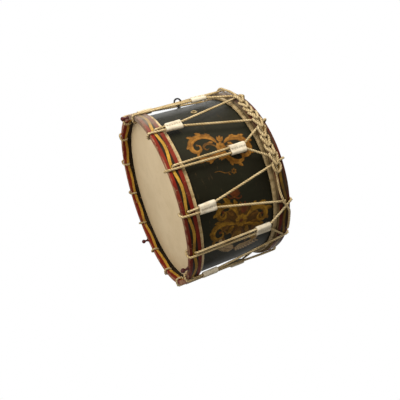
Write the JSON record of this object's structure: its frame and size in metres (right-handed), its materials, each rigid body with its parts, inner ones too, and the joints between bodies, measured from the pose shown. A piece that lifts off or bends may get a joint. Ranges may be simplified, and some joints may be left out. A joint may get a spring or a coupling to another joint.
{
  "type": "rope-tension tenor drum",
  "caption": "Wide wooden drum with a skin on each end, cord laced through two painted hoops, sliding leather tugs, ball feet, a carrying eye and a vent.",
  "frame": {"origin": "on the drum's axis, level with the undersides of the three feet", "axes": "+Z along the drum's axis from the feet up to the playing head; -X from the axis towards the carrying eye"},
  "size_m": [0.5039, 0.5099, 0.3154],
  "materials": {
    "shell_paint": "dark green-black painted wood, worn satin, with gilt ornament",
    "hoop_paint": "red painted wood with a black band and a gold wavy line, worn",
    "ash_wood": "plain ash, unvarnished",
    "calf_skin": "calfskin head, cream, mottled, matt",
    "hemp_cord": "three-strand hemp cord, dry",
    "buff_leather": "whitened buff leather, grainy",
    "foot_wood": "turned wood, dark red stain",
    "black_iron": "blackened iron, dull",
    "vent_brass": "old brass, dull"
  },
  "bodies": {
    "drum": {"shell": "shell_paint", "upper_counterhoop": "hoop_paint", "lower_counterhoop": "hoop_paint", "upper_flesh_hoop": "ash_wood", "lower_flesh_hoop": "ash_wood", "upper_glue_ring": "ash_wood", "lower_glue_ring": "ash_wood", "upper_head": "calf_skin", "lower_head": "calf_skin", "tension_cord": "hemp_cord", "plaited_cord_end": "hemp_cord", "cord_tail": "hemp_cord", "stopper_knot": "hemp_cord", "foot_front": "foot_wood", "foot_back": "foot_wood", "foot_under_eye": "foot_wood", "carrying_eye": "black_iron", "eye_washer": "black_iron", "eye_nut": "black_iron", "vent_eyelet": "vent_brass"},
    "leather_tug_01": {"leather_tug_01": "buff_leather"},
    "leather_tug_02": {"leather_tug_02": "buff_leather"},
    "leather_tug_03": {"leather_tug_03": "buff_leather"},
    "leather_tug_04": {"leather_tug_04": "buff_leather"},
    "leather_tug_05": {"leather_tug_05": "buff_leather"},
    "leather_tug_06": {"leather_tug_06": "buff_leather"},
    "leather_tug_07": {"leather_tug_07": "buff_leather"},
    "leather_tug_08": {"leather_tug_08": "buff_leather"},
    "leather_tug_09": {"leather_tug_09": "buff_leather"},
    "leather_tug_10": {"leather_tug_10": "buff_leather"},
    "leather_tug_11": {"leather_tug_11": "buff_leather"},
    "leather_tug_12": {"leather_tug_12": "buff_leather"},
    "leather_tug_13": {"leather_tug_13": "buff_leather"},
    "leather_tug_14": {"leather_tug_14": "buff_leather"}
  },
  "joints": [
    {"name": "tug_01_slide", "type": "slide", "parent": "drum", "child": "leather_tug_01", "axis": [0, 0, 1], "range_m": [-0.007, 0]},
    {"name": "tug_02_slide", "type": "slide", "parent": "drum", "child": "leather_tug_02", "axis": [0, 0, 1], "range_m": [-0.126, 0]},
    {"name": "tug_03_slide", "type": "slide", "parent": "drum", "child": "leather_tug_03", "axis": [0, 0, 1], "range_m": [-0.007, 0]},
    {"name": "tug_04_slide", "type": "slide", "parent": "drum", "child": "leather_tug_04", "axis": [0, 0, 1], "range_m": [-0.126, 0]},
    {"name": "tug_05_slide", "type": "slide", "parent": "drum", "child": "leather_tug_05", "axis": [0, 0, 1], "range_m": [-0.007, 0]},
    {"name": "tug_06_slide", "type": "slide", "parent": "drum", "child": "leather_tug_06", "axis": [0, 0, 1], "range_m": [-0.147, 0]},
    {"name": "tug_07_slide", "type": "slide", "parent": "drum", "child": "leather_tug_07", "axis": [0, 0, 1], "range_m": [-0.007, 0]},
    {"name": "tug_08_slide", "type": "slide", "parent": "drum", "child": "leather_tug_08", "axis": [0, 0, 1], "range_m": [-0.126, 0]},
    {"name": "tug_09_slide", "type": "slide", "parent": "drum", "child": "leather_tug_09", "axis": [0, 0, 1], "range_m": [-0.007, 0]},
    {"name": "tug_10_slide", "type": "slide", "parent": "drum", "child": "leather_tug_10", "axis": [0, 0, 1], "range_m": [-0.126, 0]},
    {"name": "tug_11_slide", "type": "slide", "parent": "drum", "child": "leather_tug_11", "axis": [0, 0, 1], "range_m": [-0.007, 0]},
    {"name": "tug_12_slide", "type": "slide", "parent": "drum", "child": "leather_tug_12", "axis": [0, 0, 1], "range_m": [-0.126, 0]},
    {"name": "tug_13_slide", "type": "slide", "parent": "drum", "child": "leather_tug_13", "axis": [0, 0, 1], "range_m": [-0.007, 0]},
    {"name": "tug_14_slide", "type": "slide", "parent": "drum", "child": "leather_tug_14", "axis": [0, 0, 1], "range_m": [-0.126, 0]}
  ]
}
